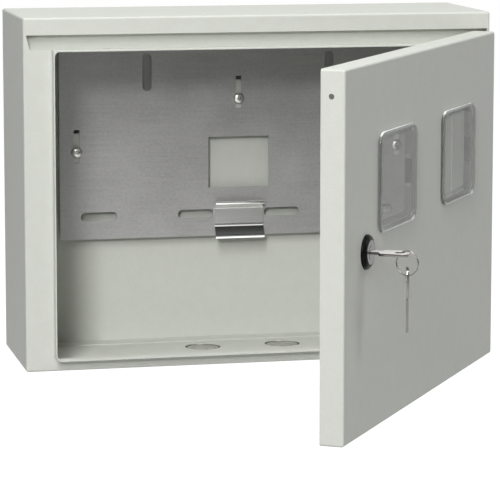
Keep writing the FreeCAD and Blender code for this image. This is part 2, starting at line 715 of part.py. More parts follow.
for height in ("hinge_spread / 2", "-hinge_spread / 2"):
    notch_low = f"{height} - fork_height / 2 - notch_gap"
    rectangle(notches, "-knuckle_radius", "2 * door_back", notch_low, f"{height} + fork_height / 2 + notch_gap")
cut(door, notches, "2 * sheet")
edge_bore = sketch(door, "YZ_Plane", lift="-door_free")
circle(edge_bore, "door_back - edge_hole_back", "door_high - edge_hole_drop", "edge_hole / 2")
cut(door, edge_bore, "2 * sheet", forward=True)

# Foam seal that the lip presses into
seal = new_piece("door_seal", on_door)
strip = sketch(seal, "XZ_Plane", x="-axis_x", lift="knuckle_radius")
for reach in ("(sheet / 2 + seal_width / 2)", "(sheet / 2 - seal_width / 2)"):
    seal_side = f"opening_side + {reach}"
    rectangle(strip, f"-({seal_side})", seal_side, f"opening_low - {reach}", f"opening_top + {reach}")
add(seal, strip, "seal_thickness", forward=False)
crest_y = value("seal_thickness - knuckle_radius")
dress(seal, "Fillet", "seal_round", lambda d, m: near(m.y, crest_y))


def window(label, centre):
    """A clear moulding: bevelled rim and pane in front, collar with snap tabs through the door."""
    body = new_piece(label, on_door)
    rim = sketch(body, "XZ_Plane", x=centre, y="window_centre", lift="door_front")
    rectangle(rim, "-window_width / 2", "window_width / 2", "-window_height / 2", "window_height / 2")
    add(body, rim, "window_rise")
    dress(body, "Fillet", "window_corner", lambda d, m: is_along(d, "y"))
    front = value("-(door_front + window_rise)")
    dress(body, "Chamfer", "window_bevel", lambda d, m: near(m.y, front))
    collar = sketch(body, "XZ_Plane", x=centre, y="window_centre", lift="door_front")
    side = "(hole_width / 2 - window_fit)"
    end = "(hole_height / 2 - window_fit)"
    rectangle(collar, f"-{side}", side, f"-{end}", end)
    add(body, collar, "collar_depth", forward=False)
    behind = value("collar_depth / 2 - door_front")
    dress(body, "Fillet", "window_corner - rim_lap", lambda d, m: is_along(d, "y") and near(m.y, behind))
    room = sketch(body, "XZ_Plane", x=centre, y="window_centre", lift="door_front - collar_depth")
    room_side = f"({side} - collar_wall)"
    room_end = f"({end} - collar_wall)"
    rectangle(room, f"-{room_side}", room_side, f"-{room_end}", room_end)
    cut(body, room, "collar_depth + window_rise - window_pane", forward=True)
    snaps = sketch(body, "XZ_Plane", x=centre, y="window_centre", lift="door_front - sheet - snap_gap")
    half = "snap_length / 2"
    catch_side = "hole_width / 2 + snap_catch"
    catch_end = "hole_height / 2 + snap_catch"
    rectangle(snaps, f"{side} - collar_wall / 2", catch_side, f"-{half}", half)
    rectangle(snaps, f"-({catch_side})", f"collar_wall / 2 - {side}", f"-{half}", half)
    rectangle(snaps, f"-{half}", half, f"{end} - collar_wall / 2", catch_end)
    rectangle(snaps, f"-{half}", half, f"-({catch_end})", f"collar_wall / 2 - {end}")
    add(body, snaps, "snap_height", forward=False)


for name, centre in window_places.items():
    window(f"window_{name}", centre)


def lock_section(body, corners):
    """A piece turned about the lock's axis, from its half section."""
    section = sketch(body, "XY_Plane", x="lock_x", lift="lock_height")
    polygon(section, corners)
    turn(body, section)


def lock_sketch(body, lift):
    """A sketch square to the lock's axis."""
    return sketch(body, "XZ_Plane", x="lock_x", y="lock_height", lift=lift)


# Lock: rosette, housing and nut stay in the door, plug, tongue and screw turn
rosette = new_piece("lock_rosette", on_door)
rosette_front = "-(door_front + rosette_height)"
rosette_outside = [("barrel_radius + barrel_gap", "-door_front"), ("rosette_radius", "-door_front")]
rosette_outside += [("rosette_radius", "-(door_front + rosette_foot)")]
rosette_outside += [("rosette_radius - rosette_bevel", rosette_front)]
rosette_inside = [("head_radius + head_gap", rosette_front), ("head_radius + head_gap", "-lock_seat")]
rosette_inside += [("barrel_radius + barrel_gap", "-lock_seat")]
lock_section(rosette, rosette_outside + rosette_inside)

housing = new_piece("lock_housing", on_door)
bore_radius = "plug_radius + running_gap"
head = [(bore_radius, "-lock_face"), ("head_radius", "-lock_face"), ("head_radius", "-lock_seat")]
barrel = [("barrel_radius", "-lock_seat"), ("barrel_radius", "barrel_end"), (bore_radius, "barrel_end")]
lock_section(housing, head + barrel)

nut = new_piece("lock_nut", on_door)
nut_outline = lock_sketch(nut, "knuckle_radius")
hexagon(nut_outline, "nut_across")
circle(nut_outline, "0", "0", "barrel_radius + barrel_gap")
add(nut, nut_outline, "nut_height", forward=False)

plug = new_piece("lock_plug", on_door)
plug_front = [("0", "-plug_face"), ("plug_radius", "-plug_face")]
lock_section(plug, plug_front + [("plug_radius", "cam_front"), ("0", "cam_front")])
square = lock_sketch(plug, "-cam_front")
rectangle(square, "-tang / 2", "tang / 2", "-tang / 2", "tang / 2")
add(plug, square, "cam_sheet - tang_gap", forward=False)
keyway = lock_sketch(plug, "plug_face")
keyway_side = "(blade_width / 2 + key_gap)"
keyway_end = "(key_thickness / 2 + key_gap)"
rectangle(keyway, f"-{keyway_side}", keyway_side, f"-{keyway_end}", keyway_end)
cut(plug, keyway, "key_insert + key_gap")
screw_bore = lock_sketch(plug, "-(cam_front + cam_sheet)")
circle(screw_bore, "0", "0", "cam_screw_shank / 2 + screw_gap")
cut(plug, screw_bore, "cam_screw_length + screw_gap", forward=True)

cam = new_piece("lock_cam", on_door)
tongue = lock_sketch(cam, "-cam_front")
rectangle(tongue, "-cam_width / 2", "cam_width / 2", "-cam_reach", "cam_heel")
add(cam, tongue, "cam_sheet", forward=False)
dress(cam, "Fillet", "cam_round", lambda d, m: is_along(d, "y"))
tang_hole = lock_sketch(cam, "-cam_front")
tang_side = "(tang / 2 + tang_gap)"
rectangle(tang_hole, f"-{tang_side}", tang_side, f"-{tang_side}", tang_side)
cut(cam, tang_hole, "2 * cam_sheet")

cam_screw = new_piece("cam_screw", on_door)
cam_back = "cam_front + cam_sheet"
cam_screw_top = f"{cam_back} + cam_screw_height"
cam_screw_end = f"{cam_back} - cam_screw_length"
screw_outside = [("0", cam_screw_top), ("cam_screw_head / 2", cam_screw_top), ("cam_screw_head / 2", cam_back)]
screw_inside = [("cam_screw_shank / 2", cam_back), ("cam_screw_shank / 2", cam_screw_end), ("0", cam_screw_end)]
lock_section(cam_screw, screw_outside + screw_inside)


def key(body, plane, x, y, lift, way):
    """A flat key about its bow's hole, with its tip on the plus or minus side of the sketch."""
    flat = sketch(body, plane, x=x, y=y, lift=lift)

    def along(distance):
        return f"{way}({distance} - bow_centre)"

    blade = "blade_width / 2"
    bow = "bow_width / 2"
    shoulder = "(key_out - key_neck)"
    right = [(bow, along("0")), (bow, along(shoulder)), (blade, along(shoulder))]
    right += [(blade, along("(key_length - blade_tip)")), (f"{blade} - blade_tip", along("key_length"))]
    left = [(f"-({half})", place) for half, place in reversed(right)]
    polygon(flat, right + left)
    add(body, flat, "key_thickness", both_ways=True)
    bow_half = value(bow)
    dress(body, "Fillet", "bow_round", lambda d, m: is_along_thickness(d, plane) and near(abs(across(m, x)), bow_half))
    hole = sketch(body, plane, x=x, y=y, lift=lift)
    circle(hole, "0", "0", "bow_hole / 2")
    cut(body, hole, "2 * key_thickness", both_ways=True)
    bits = sketch(body, plane, x=x, y=y, lift=lift)
    for number in range(3):
        deepest = f"(key_length - blade_tip - bit_pitch * {number + 0.5})"
        mouth = "bit_depth"
        tip = (f"{blade} - bit_depth", along(deepest))
        first = (f"{blade} + bit_depth / 4", along(f"({deepest} - {mouth})"))
        last = (f"{blade} + bit_depth / 4", along(f"({deepest} + {mouth})"))
        polygon(bits, [tip, first, last])
    cut(body, bits, "2 * key_thickness", both_ways=True)


def is_along_thickness(direction, plane):
    """Whether an edge runs through the thickness of a key drawn on the plane."""
    return is_along(direction, "z" if plane == "XY_Plane" else "y")


def across(point, x):
    """How far a point lies to the side of a key's middle line."""
    return point.x - value(x)


lock_key = new_piece("lock_key", on_door)
key(lock_key, "XY_Plane", "lock_x", "bow_centre - plug_face - key_out", "lock_height", "")

# Ring through the bow of the key in the lock, with the spare key hanging from it
ring = new_piece("key_ring")
turned(ring, "ring_x_room", "ring_y_room", "ring_height", "door_open + ring_turn")
wire = sketch(ring, "XY_Plane")
circle(wire, "0", "ring_radius", "ring_wire / 2")
turn(ring, wire, "H_Axis")
spare = new_piece("spare_key")
turned(spare, "ring_x_room", "ring_y_room", "spare_hole_height", "door_open + spare_turn")
key(spare, "XZ_Plane", "0", "0", "0", "-")


def earth_point(name, place, x, y, lift, forward):
    """A welded stud with its washer and nut, on a wall at the given lift."""
    sign = "+" if forward else "-"
    stud = new_piece(f"{name}_earth_stud", place)
    shank = sketch(stud, "XZ_Plane", x=x, y=y, lift=lift)
    circle(shank, "0", "0", "stud_diameter / 2")
    add(stud, shank, "stud_length", forward=forward)
    washer = new_piece(f"{name}_earth_washer", place)
    disc = sketch(washer, "XZ_Plane", x=x, y=y, lift=lift)
    circle(disc, "0", "0", "stud_washer_radius")
    circle(disc, "0", "0", "stud_diameter / 2 + stud_gap")
    add(washer, disc, "stud_washer_height", forward=forward)
    hex_nut = new_piece(f"{name}_earth_nut", place)
    six_sides = sketch(hex_nut, "XZ_Plane", x=x, y=y, lift=f"{lift} {sign} stud_washer_height")
    hexagon(six_sides, "stud_nut_across")
    circle(six_sides, "0", "0", "stud_diameter / 2 + stud_gap")
    add(hex_nut, six_sides, "stud_nut_height", forward=forward)


earth_point("body", None, "body_stud_right", "-body_stud_down", "sheet", True)
earth_point("door", on_door, "-door_stud_left", "-door_stud_down", "knuckle_radius", False)

doc.recompute()
for item in doc.Objects:
    if "Invalid" in item.State or "Error" in item.State:
        raise RuntimeError(f"{item.Label} failed: {item.State}")
for piece in pieces:
    if piece.Shape.isNull() or not piece.Shape.isValid():
        raise RuntimeError(f"{piece.Label} has no sound shape")
os.makedirs("parts", exist_ok=True)
for piece in pieces:
    piece.Shape.exportStep(f"parts/{piece.Label}.step")
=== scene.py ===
import json
import math

import bmesh
import bpy
from mathutils import Matrix, Vector


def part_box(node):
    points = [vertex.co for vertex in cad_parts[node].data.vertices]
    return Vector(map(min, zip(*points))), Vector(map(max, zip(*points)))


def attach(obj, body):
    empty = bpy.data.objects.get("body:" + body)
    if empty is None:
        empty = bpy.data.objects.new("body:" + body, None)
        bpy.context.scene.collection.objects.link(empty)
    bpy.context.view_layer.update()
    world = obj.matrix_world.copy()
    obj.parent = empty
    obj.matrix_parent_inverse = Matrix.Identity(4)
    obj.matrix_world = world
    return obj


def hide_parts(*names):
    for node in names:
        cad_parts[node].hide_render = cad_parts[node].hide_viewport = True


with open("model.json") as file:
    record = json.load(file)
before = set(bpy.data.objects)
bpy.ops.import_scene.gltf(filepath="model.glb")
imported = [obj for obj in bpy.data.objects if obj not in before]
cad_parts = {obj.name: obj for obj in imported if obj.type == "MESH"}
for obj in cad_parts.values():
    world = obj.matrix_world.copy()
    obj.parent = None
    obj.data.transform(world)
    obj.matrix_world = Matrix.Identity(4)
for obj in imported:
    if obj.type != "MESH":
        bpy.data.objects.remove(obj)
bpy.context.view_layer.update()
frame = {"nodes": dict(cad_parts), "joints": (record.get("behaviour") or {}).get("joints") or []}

# Enclosure: a wall box folded from steel sheet, with a hood and rain gutter over the opening and a lip
# that the door's seal presses on. It is welded at the corners and powder coated light grey. The coat is
# satin, with a fine orange-peel skin, and covers brackets, hinges and door as well.


class Wire:
    """A socket of a material's nodes. Sums, differences and products of wires become its Math nodes."""

    def __init__(self, tree, socket=None):
        self.tree = tree
        self.socket = socket

    def node(self, kind, settings=None, inputs=None, output=0):
        """Adds a node, makes its settings first, then fills or links its sockets."""
        made = self.tree.nodes.new("ShaderNode" + kind)
        for name, setting in (settings or {}).items():
            setattr(made, name, setting)
        for name, given in (inputs or {}).items():
            if isinstance(given, Wire):
                self.tree.links.new(given.socket, made.inputs[name])
            else:
                made.inputs[name].default_value = given
        return Wire(self.tree, made.outputs[output] if made.outputs else None)

    def math(self, operation, *values):
        return self.node("Math", {"operation": operation}, dict(enumerate(values)))

    def __add__(self, other):
        return self.math("ADD", self, other)

    def __sub__(self, other):
        return self.math("SUBTRACT", self, other)

    def __rsub__(self, other):
        return self.math("SUBTRACT", other, self)

    def __mul__(self, other):
        return self.math("MULTIPLY", self, other)

    __radd__ = __add__
    __rmul__ = __mul__

    def between(self, low, high):
        """0 below low, 1 above high and a soft step between them."""
        limits = {"Value": self, "From Min": low, "From Max": high}
        return self.node("MapRange", {"interpolation_type": "SMOOTHSTEP"}, limits)

    def mix(self, first, second):
        """A colour that goes from the first to the second as this value goes from 0 to 1."""
        return self.node("Mix", {"data_type": "RGBA"}, {0: self, 6: first, 7: second}, 2)

    def stretched(self, along, through, up):
        """This place with each direction's detail drawn out or packed."""
        return self.node("VectorMath", {"operation": "MULTIPLY"}, {0: self, 1: (along, through, up)})

    def noise(self, scale, detail=2.0, roughness=0.5):
        """Soft clouds over this place, about one to a metre at scale 1."""
        inputs = {"Vector": self, "Scale": scale, "Detail": detail, "Roughness": roughness}
        return self.node("TexNoise", {}, inputs)


def card(red, green, blue):
    """A colour read off a colour card, 0 to 255 a channel, in the linear values that a shader takes."""

    def linear(channel):
        part = channel / 255
        return part / 12.92 if part <= 0.04045 else ((part + 0.055) / 1.055) ** 2.4

    return (linear(red), linear(green), linear(blue), 1.0)


def new_finish(name):
    """An empty material, and each point's place on its piece in metres."""
    finish = bpy.data.materials.new(name)
    finish.use_nodes = True
    finish.node_tree.nodes.clear()
    return finish, Wire(finish.node_tree).node("TexCoord", output="Object")


def surface(place, **sockets):
    """The material's one shader; a socket's name is written with low lines."""
    inputs = {name.replace("_", " "): given for name, given in sockets.items()}
    place.node("OutputMaterial", {}, {"Surface": place.node("BsdfPrincipled", {}, inputs)})


def relief(place, height, depth):
    """A normal bent by a height from 0 to 1, over a depth in metres."""
    return place.node("Bump", {}, {"Strength": 1.0, "Distance": depth, "Height": height})


def coat(finish, *names):
    """Puts a finish on solids that keep their shape."""
    for name in names:
        frame["nodes"][name].material_slots[0].material = finish


powder_coat, place = new_finish("powder_coat")
peel = place.noise(scale=520.0)
flow = place.noise(scale=95.0, detail=3.0)
surface(
    place,
    Base_Color=(flow * 0.5 + peel * 0.5).mix(card(199, 201, 194), card(211, 213, 206)),
    Roughness=0.46 + 0.2 * peel,
    Specular_IOR_Level=0.25,
    Normal=relief(place, peel + flow * 0.6, depth=0.00012),
)
coat(powder_coat, "enclosure")

# Plate brackets: three small hats of steel strip, spot welded to the back wall before coating. Each
# carries one screw of the mounting plate.
coat(powder_coat, "plate_brackets")

# Earth point of the box: a steel stud welded to the back wall, with a washer and a hexagon nut for the
# protective conductor. Stud, washer and nut are zinc plated, and the thread is left free of paint.


def lofted(name, rings, capped=True):
    """A smooth skin over rings of as many points each; without caps the last ring joins the first."""
    shape = bmesh.new()
    rows = [[shape.verts.new(point) for point in ring] for ring in rings]
    for near, far in zip(rows, rows[1:] if capped else rows[1:] + rows[:1]):
        for step in range(len(near)):
            shape.faces.new((near[step - 1], near[step], far[step], far[step - 1]))
    if capped:
        shape.faces.new(rows[0])
        shape.faces.new(reversed(rows[-1]))
    return smoothed(name, shape)


def smoothed(name, shape, edge=38):
    """The finished piece, smooth but for edges sharper than the given angle."""
    bmesh.ops.recalc_face_normals(shape, faces=shape.faces)
    mesh = bpy.data.meshes.new(name)
    shape.to_mesh(mesh)
    shape.free()
    mesh.polygons.foreach_set("use_smooth", [True] * len(mesh.polygons))
    mesh.set_sharp_from_angle(angle=math.radians(edge))
    piece = bpy.data.objects.new(name, mesh)
    bpy.context.scene.collection.objects.link(piece)
    return piece


def fit(piece, where, body, finish, slot, *solids):
    """Moves a piece's mesh to where it belongs and puts it there for the solids that it stands for."""
    piece.data.transform(where)
    piece.data.materials.append(finish)
    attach(piece, body)
    if solids:
        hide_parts(*solids)


def circle(radius, height, steps=48):
    """A level ring of points round the z axis."""
    turns = [2 * math.pi * step / steps for step in range(steps)]
    return [Vector((radius * math.cos(turn), radius * math.sin(turn), height)) for turn in turns]


def thread(radius, low, high, pitch, rows=6):
    """Rings of a screw thread, with some rows to a pitch: its crest climbs one pitch in a turn."""
    depth = 0.55 * pitch
    rings = []
    count = round((high - low) / pitch * rows)
    for row in range(count + 1):
        height = low + (high - low) * row / count
        ring = circle(1, height)
        for step, point in enumerate(ring):
            climb = (height / pitch - step / len(ring)) % 1
            reach = radius - depth * abs(2 * climb - 1)
            point.x *= reach
            point.y *= reach
        rings.append(ring)
    return rings


def hexagon_nut(name, across, bore, height):
    """A nut with its corners turned off at both faces."""
    flat = across / 2
    seat = 0.95 * flat
    lead = 0.06 * across
    corner_slope = math.tan(math.radians(30))
    foot, top = [], []
    for point in circle(1, 0):
        turn = math.atan2(point.y, point.x) % (math.pi / 3) - math.pi / 6
        reach = flat / math.cos(turn)
        drop = max(0, reach - seat) * corner_slope
        foot.append(Vector((point.x * reach, point.y * reach, drop)))
        top.append(Vector((point.x * reach, point.y * reach, height - drop)))
    rings = [circle(bore, lead), circle(bore + lead, 0), circle(seat, 0), foot, top]
    rings += [circle(seat, height), circle(bore + lead, height), circle(bore, height - lead)]
    return lofted(name, rings, capped=False)


def washer(name, bore, radius, height):
    """A stamped washer with a rolled edge on one side and a crisp one on the other."""
    round_over = 0.3 * height
    shoulder = 0.3 * round_over
    rings = [circle(bore, 0), circle(radius, 0), circle(radius, height - round_over)]
    rings += [circle(radius - shoulder, height - shoulder), circle(radius - round_over, height)]
    return lofted(name, rings + [circle(bore, height)], capped=False)


bright_zinc, place = new_finish("bright_zinc")
bloom = place.noise(scale=420.0, detail=4.0, roughness=0.6)
drift = place.noise(scale=70.0)
surface(
    place,
    Base_Color=(bloom * 0.6 + drift * 0.4).mix(card(188, 188, 184), card(214, 214, 210)),
    Metallic=1.0,
    Roughness=0.22 + 0.2 * bloom,
    Normal=relief(place, bloom, depth=0.00001),
)
stud_radius = 0.0029
stud_length = 0.014
stud_pitch = 0.001
stud_bevel = 0.0006
stud_play = 0.00015
washer_radius = 0.006
washer_height = 0.0016
nut_across = 0.010
nut_height = 0.005


def earth_point(name, body, where):
    """Stud, washer and nut, standing on the plane z = 0 of their place."""
    shank = [circle(stud_radius, 0), circle(stud_radius, washer_height)]
    shank += thread(stud_radius, washer_height, stud_length - stud_bevel, stud_pitch)
    shank += [circle(stud_radius - 2 * stud_bevel, stud_length)]
    stud = lofted(f"{name}_stud", shank)
    fit(stud, where, body, bright_zinc, "plated", f"{name}_earth_stud")
    bore = stud_radius + stud_play
    ring = washer(f"{name}_stud_washer", bore, washer_radius, washer_height)
    fit(ring, where, body, bright_zinc, "plated", f"{name}_earth_washer")
    nut = hexagon_nut(f"{name}_stud_nut", nut_across, bore, nut_height)
    seat = Matrix.Translation((0, 0, washer_height))
    fit(nut, where @ seat, body, bright_zinc, "plated", f"{name}_earth_nut")


forward = Matrix.Rotation(math.radians(90), 4, "X")
box_stud_foot = Vector((0.135, -0.001, -0.115))
earth_point("body", "box", Matrix.Translation(box_stud_foot) @ forward)

# Cable entries: two round knock-outs in the floor, half sheared and pressed out into slightly domed discs.
# The discs are given a mottled grey darker than the coat, painted shade for the dimness of the pressed discs.
# The press leaves a narrow torn gap round each disc, bridged by two tabs; the gap is a thin near-black strip
# lying on the floor, painted shade for the shadow in the gap.
# Near-black strip colour: painted shade for the shadow in the torn gap.
gap_painted_shade, place = new_finish("gap_painted_shade")
gap_mottle = place.noise(scale=2400.0, detail=3.0)
surface(
    place,
    Base_Color=gap_mottle.mix(card(34, 34, 33), card(74, 73, 70)),
    Metallic=0.6,
    Roughness=0.55 + 0.2 * gap_mottle,
    Normal=relief(place, gap_mottle, depth=0.00003),
)
# The discs' grey, darker than the powder coat, is painted shade.
disc_painted_shade, place = new_finish("disc_painted_shade")
disc_mottle = place.noise(scale=160.0, detail=3.0)
surface(
    place,
    Base_Color=disc_mottle.between(0.3, 0.7).mix(card(146, 147, 140), card(178, 179, 172)),
    Roughness=0.45 + 0.2 * disc_mottle,
    Specular_IOR_Level=0.3,
    Normal=relief(place, disc_mottle, depth=0.0001),
)
entry_radius = 0.01625
entry_spacing = 0.0745
entry_middle = Vector((0.0018, -0.048, -0.1548))
gap_width = 0.0018
# Distance in from the entry's edge and height over the floor, across the gap.
gap_section = [(gap_width, 0.00002), (gap_width / 2, 0.0001), (0.00002, 0.00002)]
gap_steps = 40
tab_turn = math.radians(9)
disc_radius = entry_radius - gap_width
disc_rise = 0.0009
disc_lift = 0.00003
disc_parts = (1.0, 0.8, 0.6, 0.4, 0.2, 0.02)
entries = {}
for name, side in (("left_entry_disc", -0.5), ("right_entry_disc", 0.5)):
    entries[name] = entry_middle + Vector((side * entry_spacing, 0, 0))
gap_shape = bmesh.new()
for entry in entries.values():
    for start in (-math.pi / 2, math.pi / 2):
        gap_rows = []
        for step in range(gap_steps + 1):
            turn = start + tab_turn + (math.pi - 2 * tab_turn) * step / gap_steps
            out = Vector((math.cos(turn), math.sin(turn), 0))
            row = [entry + (entry_radius - inset) * out + Vector((0, 0, up)) for inset, up in gap_section]
            gap_rows.append([gap_shape.verts.new(point) for point in row])
        for first, second in zip(gap_rows, gap_rows[1:]):
            for edge in (0, 1):
                gap_shape.faces.new((first[edge], second[edge], second[edge + 1], first[edge + 1]))
fit(smoothed("entry_gaps", gap_shape), Matrix(), "box", gap_painted_shade, "plated")
for name, entry in entries.items():
    disc = lofted(name, [circle(disc_radius * part, disc_rise * (1 - part * part)) for part in disc_parts])
    fit(disc, Matrix.Translation(entry + Vector((0, 0, disc_lift))), "box", disc_painted_shade, "paint")

# Mounting plate: a stamped plate of galvanised sheet that carries the meters, with slots for their lugs
# and a square window for the wires. The zinc is dull, drawn level by the rolls and clouded by handling.
galvanised, place = new_finish("galvanised_sheet")
rolled = place.stretched(along=20.0, through=1.0, up=1300.0).noise(scale=1.0, detail=4.0, roughness=0.7)
cloud = place.noise(scale=26.0, detail=4.0, roughness=0.6)
spangle = place.noise(scale=420.0, detail=3.0, roughness=0.6)
zinc_tone = rolled * 0.4 + cloud * 0.3 + spangle * 0.3
surface(
    place,
    Base_Color=zinc_tone.between(0.25, 0.75).mix(card(152, 151, 150), card(184, 183, 182)),
    Metallic=0.35,
    Roughness=0.36 + 0.2 * cloud,
    Normal=relief(place, rolled * 0.6 + spangle * 0.4, depth=0.00004),
)
coat(galvanised, "mounting_plate")

# Plate screws: three zinc-plated pan-head screws with a cross recess, driven into the brackets through
# the plate's upright slots. The heads are cold formed, so they are domed with a soft edge.
head_radius = 0.005
head_edge = 0.0012
head_height = 0.0034
shank_radius = 0.0024
shank_length = 0.0057
thread_pitch = 0.0008
# Half length, half width and height of the recess at its foot and at its mouth, in millimetres.
recess_foot = (0.7, 0.35, 1.7)
recess_mouth = (2.7, 0.65, 3.8)
recess_turn = 20


def cut_out(piece, cutter):
    """Takes the cutter's form out of a piece and throws the cutter away."""
    cut = piece.modifiers.new("cut", "BOOLEAN")
    cut.object = cutter
    cut.solver = "EXACT"
    seen = piece.evaluated_get(bpy.context.evaluated_depsgraph_get())
    whole = piece.data
    piece.data = bpy.data.meshes.new_from_object(seen)
    piece.modifiers.clear()
    bpy.data.meshes.remove(whole)
    bpy.data.objects.remove(cutter)


def pan_head_screw(name):
    """One screw, its head's seat on the plane z = 0 and its tip below."""
    tip_radius = 0.6 * shank_radius
    seat_radius = 0.94 * head_radius
    thread_start = 0.4 * thread_pitch - shank_length
    rings = [circle(tip_radius, -shank_length)]
    rings += thread(shank_radius, thread_start, -thread_pitch, thread_pitch)
    rings += [circle(shank_radius, -0.5 * thread_pitch), circle(shank_radius, 0)]
    rings += [circle(seat_radius, 0), circle(head_radius, 0.25 * head_edge)]
    for degrees in range(0, 90, 10):
        turn = math.radians(degrees)
        rise = head_edge + (head_height - head_edge) * math.sin(turn)
        rings.append(circle(head_radius * math.cos(turn), rise))
    screw = lofted(name, rings)
    corners = ((1, 1), (-1, 1), (-1, -1), (1, -1))
    for quarter in (0, 90):
        blade = []
        for half_length, half_width, height in (recess_foot, recess_mouth):
            blade.append([Vector((half_length * x, half_width * y, height)) / 1000 for x, y in corners])
        cutter = lofted("cutter", blade)
        cutter.data.transform(Matrix.Rotation(math.radians(quarter + recess_turn), 4, "Z"))
        cut_out(screw, cutter)
    return screw


screws_low, screws_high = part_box("plate_screws")
left_screw, right_screw = screws_low.x + head_radius, screws_high.x - head_radius
middle_screw = (left_screw + right_screw) / 2
side_height, middle_height = screws_low.z + head_radius, screws_high.z - head_radius
screw_shape = bmesh.new()
pattern = pan_head_screw("pattern")
for across, height in ((left_screw, side_height), (middle_screw, middle_height), (right_screw, side_height)):
    driven = pattern.data.copy()
    driven.transform(Matrix.Translation((across, screws_low.y + head_height, height)) @ forward)
    screw_shape.from_mesh(driven)
bpy.data.objects.remove(pattern)
plate_screws = smoothed("pan_head_screws", screw_shape, edge=30)
fit(plate_screws, Matrix(), "box", bright_zinc, "plated", "plate_screws")

# Rail: a short length of 35 mm hat rail with flared walls, rolled from zinc-plated strip and spot welded to
# the plate's lower edge by its web. The rolls leave long level lines and lips that lean a little. Lips and
# upper wall are bright and the web is satin; the lower wall is given a dark zinc, painted shade for the dark
# reflection it shows.


def rolled_zinc(name, dark, light, smoothest, spread, depth):
    """Zinc-plated strip with fine lines along it."""
    finish, place = new_finish(name)
    lines = place.stretched(along=8.0, through=700.0, up=700.0).noise(scale=1.0, detail=3.0, roughness=0.6)
    surface(
        place,
        Base_Color=lines.mix(dark, light),
        Metallic=1.0,
        Roughness=smoothest + spread * lines,
        Normal=relief(place, lines, depth),
    )
    return finish


rail_zinc = rolled_zinc(
    "rail_zinc", card(222, 222, 221), card(240, 240, 239), smoothest=0.06, spread=0.08, depth=0.000002
)
rail_satin = rolled_zinc(
    "rail_satin", card(232, 232, 231), card(250, 250, 249), smoothest=0.24, spread=0.1, depth=0.000004
)
# The lower wall's dark zinc is painted shade: it stands for the dark interior that the wall reflects.
rail_painted_shade = rolled_zinc(
    "rail_painted_shade", card(84, 86, 87), card(112, 113, 113), smoothest=0.06, spread=0.08, depth=0.000002
)
# Height over the rail's middle and distance from the plate, in millimetres, from the top down and back up.
upper_lip = [(17.5, 6.5), (17.5, 6.8), (17.35, 7.1), (17.0, 7.3), (16.5, 7.45), (16.2, 7.5)]
upper_lip += [(15.9, 7.46), (14.9, 7.32), (14.6, 7.28)]
upper_wall = [(14.2, 7.05), (13.9, 6.6), (11.0, 1.5), (10.7, 1.15)]
web = [(10.3, 1.0), (9.8, 1.0), (-3.7, 1.0), (-4.2, 1.0)]
lower_wall = [(-5.0, 1.1), (-5.8, 1.4), (-6.6, 1.85), (-7.1, 2.16), (-13.9, 6.39), (-14.4, 6.7)]
lower_lip = [(-14.7, 6.95), (-15.0, 7.3), (-15.4, 7.5), (-15.6, 7.47), (-17.0, 7.23), (-17.2, 7.2)]
lower_lip += [(-17.42, 7.05), (-17.5, 6.8)]
rail_back = [(-17.5, 6.4), (-15.5, 6.4), (-14.93, 5.85), (-7.13, 1.0), (-6.3, 0.5), (-5.4, 0.15)]
rail_back += [(-4.2, 0.0), (10.3, 0.0), (11.3, 0.25), (11.87, 1.0), (14.77, 6.1), (15.2, 6.5)]
rail_section = upper_lip + upper_wall + web + lower_wall + lower_lip + rail_back
rail_low, rail_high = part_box("din_rail")
rail_height = (rail_low.z + rail_high.z) / 2
rail_ends = []
for end in (rail_low.x, rail_high.x):
    points = [(end, rail_high.y - depth / 1000, rail_height + rise / 1000) for rise, depth in rail_section]
    rail_ends.append([Vector(point) for point in points])
rail = lofted("hat_rail", rail_ends)
web_foot, web_head = -0.0042, 0.0103
wall_end, wall_foot = -0.0144, -0.0068
satin_index, painted_shade_index = 1, 2
for face in rail.data.polygons:
    rise = face.center.z - rail_height
    cut_end = abs(face.normal.x) > 0.5
    if web_foot < rise < web_head and not cut_end:
        face.material_index = satin_index
    elif wall_end < rise < wall_foot and not cut_end:
        face.material_index = painted_shade_index
fit(rail, Matrix(), "box", rail_zinc, "plated", "din_rail")
rail.data.materials.append(rail_satin)
rail.data.materials.append(rail_painted_shade)

# Hinges: two forks on the flange and two rolled leaves on the door, welded on before coating, and a
# bright pin through each pair, upset at its lower end.
coat(powder_coat, "frame_hinge_upper", "frame_hinge_lower", "door_hinge_upper", "door_hinge_lower")
coat(bright_zinc, "hinge_pin_upper", "hinge_pin_lower")

# Door: a shallow tray folded from the same sheet and coated with the box, with two holes for windows,
# one for the lock and a small hole in the free edge for a sealing wire. An earth point like the box's is
# welded to its inside.
coat(powder_coat, "door_panel")
joints = {joint["name"]: joint for joint in frame["joints"]}
upright = Vector((0, 0, 1))
inward = Vector(joints["lock_turn"]["axis"])
along = Vector((inward.y, -inward.x, 0))
door_turn = Matrix((along, inward, upright)).transposed().to_4x4()
door_place = Matrix.Translation(joints["door_swing"]["pos_m"]) @ door_turn
backward = Matrix.Rotation(math.radians(-90), 4, "X")
door_stud_foot = Vector((-0.042, -0.0035, -0.110))
earth_point("door", "door", door_place @ Matrix.Translation(door_stud_foot) @ backward)

# Seal: a strip of black closed-cell foam, self-adhesive, laid in one loop on the inside of the door
# where the lip meets it. Its crest is a little rounded, and its section is the same all round.
foam, place = new_finish("black_foam")
cells = place.node("TexVoronoi", {}, {"Vector": place, "Scale": 1500.0})
surface(
    place,
    Base_Color=cells.mix(card(20, 20, 20), card(52, 52, 51)),
    Roughness=0.85,
    Normal=relief(place, cells, depth=0.0002),
)


